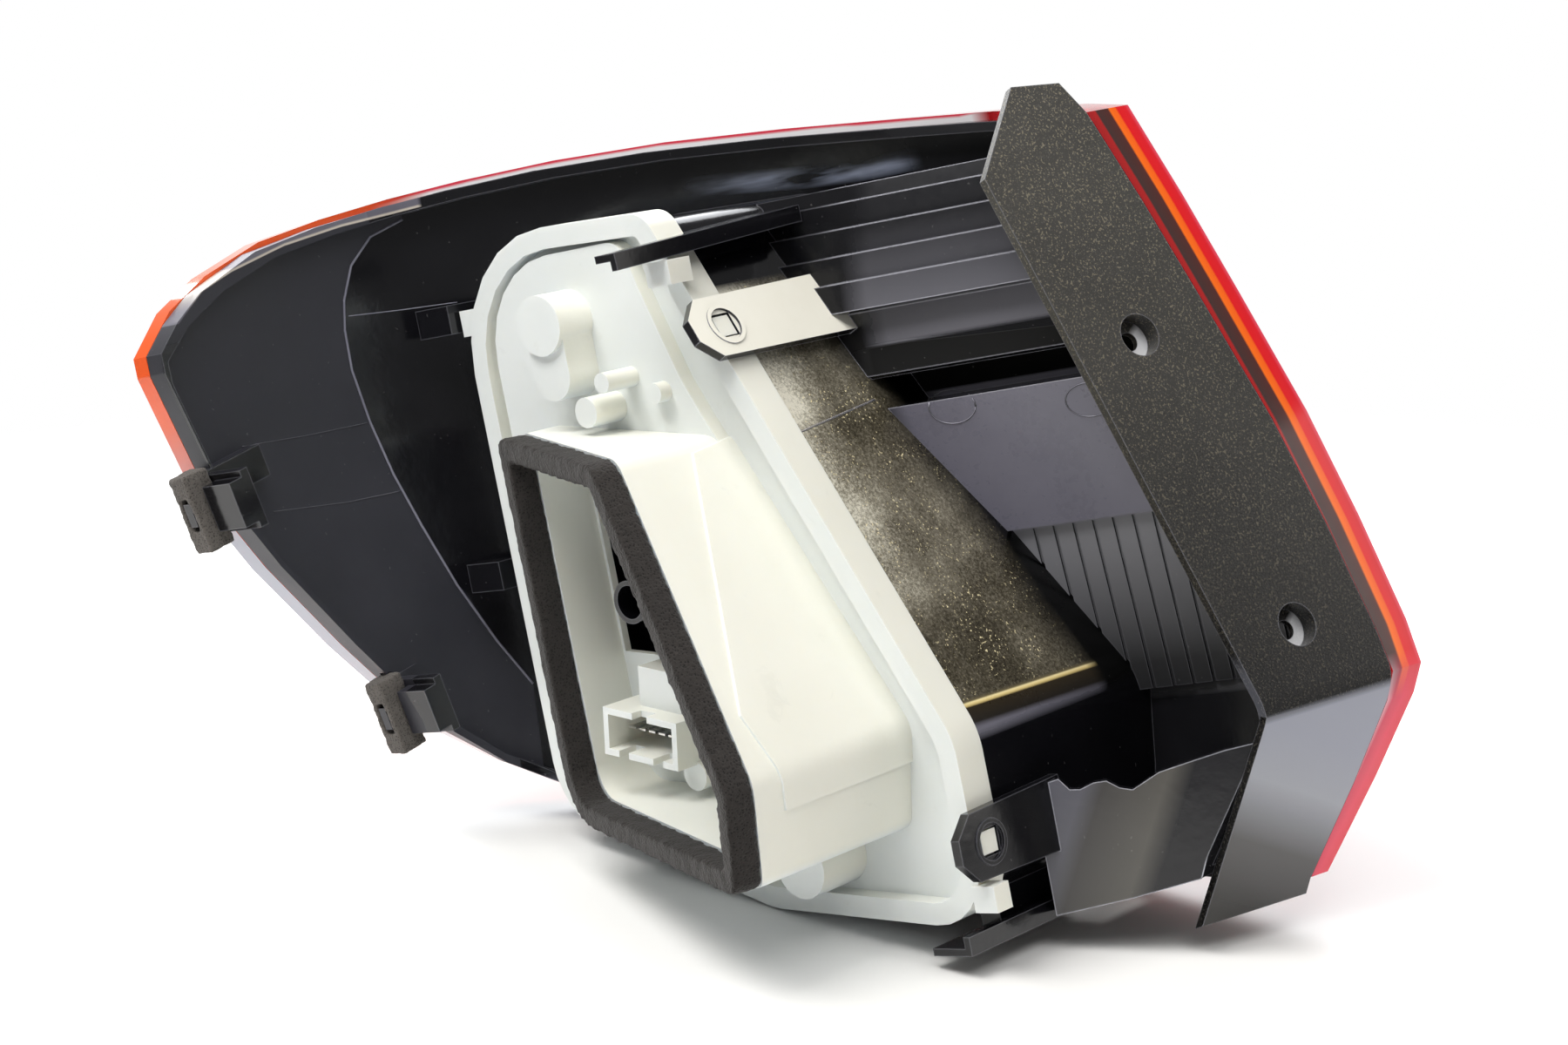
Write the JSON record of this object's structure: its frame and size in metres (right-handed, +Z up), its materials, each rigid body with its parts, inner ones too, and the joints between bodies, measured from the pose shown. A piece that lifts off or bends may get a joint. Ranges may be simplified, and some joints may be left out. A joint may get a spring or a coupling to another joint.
{
  "type": "tail light cluster",
  "caption": "Wrap-around rear lamp seen from its body side: dark housing, off-white bulb carrier with foam frame, red lens edge and grained side panel.",
  "frame": {"origin": "middle of the upper screw recess, on the outer face of the side panel", "axes": "+X from the flank of the car toward the tailgate, +Y rearward out of the lens, +Z up"},
  "size_m": [0.2899, 0.2135, 0.2494],
  "materials": {
    "housing_black": "satin to glossy black moulding, faintly violet",
    "panel_black": "fine grained matte black with light flecks",
    "lens_red": "clear glossy deep red with an amber inner band",
    "lens_clear": "clear glossy plastic",
    "mirror_coat": "vacuum coated bright reflector",
    "bezel_grey": "dark grey satin",
    "carrier_white": "semi-matt off-white moulding with a cream tint",
    "seal_rubber": "matt black soft seal",
    "gasket_foam": "matt brown-black open foam",
    "pad_foam": "matt grey-brown foam",
    "bulb_glass": "clear thin glass",
    "bulb_cap": "dull drawn brass",
    "contact_brass": "bright stamped brass"
  },
  "bodies": {
    "root": {"housing": "housing_black", "side_trim_panel": "panel_black", "outer_lens": "lens_red", "clear_window": "lens_clear", "reflector": "mirror_coat", "inner_bezel": "bezel_grey", "bulb_carrier": "carrier_white", "carrier_seal": "seal_rubber", "body_gasket": "gasket_foam", "upper_foam_pad": "pad_foam", "lower_foam_pad": "pad_foam", "turn_bulb_glass": "bulb_glass", "turn_bulb_cap": "bulb_cap", "tail_bulb_glass": "bulb_glass", "tail_bulb_cap": "bulb_cap", "reverse_bulb_glass": "bulb_glass", "reverse_bulb_cap": "bulb_cap", "fog_bulb_glass": "bulb_glass", "fog_bulb_cap": "bulb_cap", "ground_strip": "contact_brass", "turn_strip": "contact_brass", "tail_strip": "contact_brass", "stop_strip": "contact_brass", "reverse_strip": "contact_brass", "fog_strip": "contact_brass"}
  },
  "joints": []
}
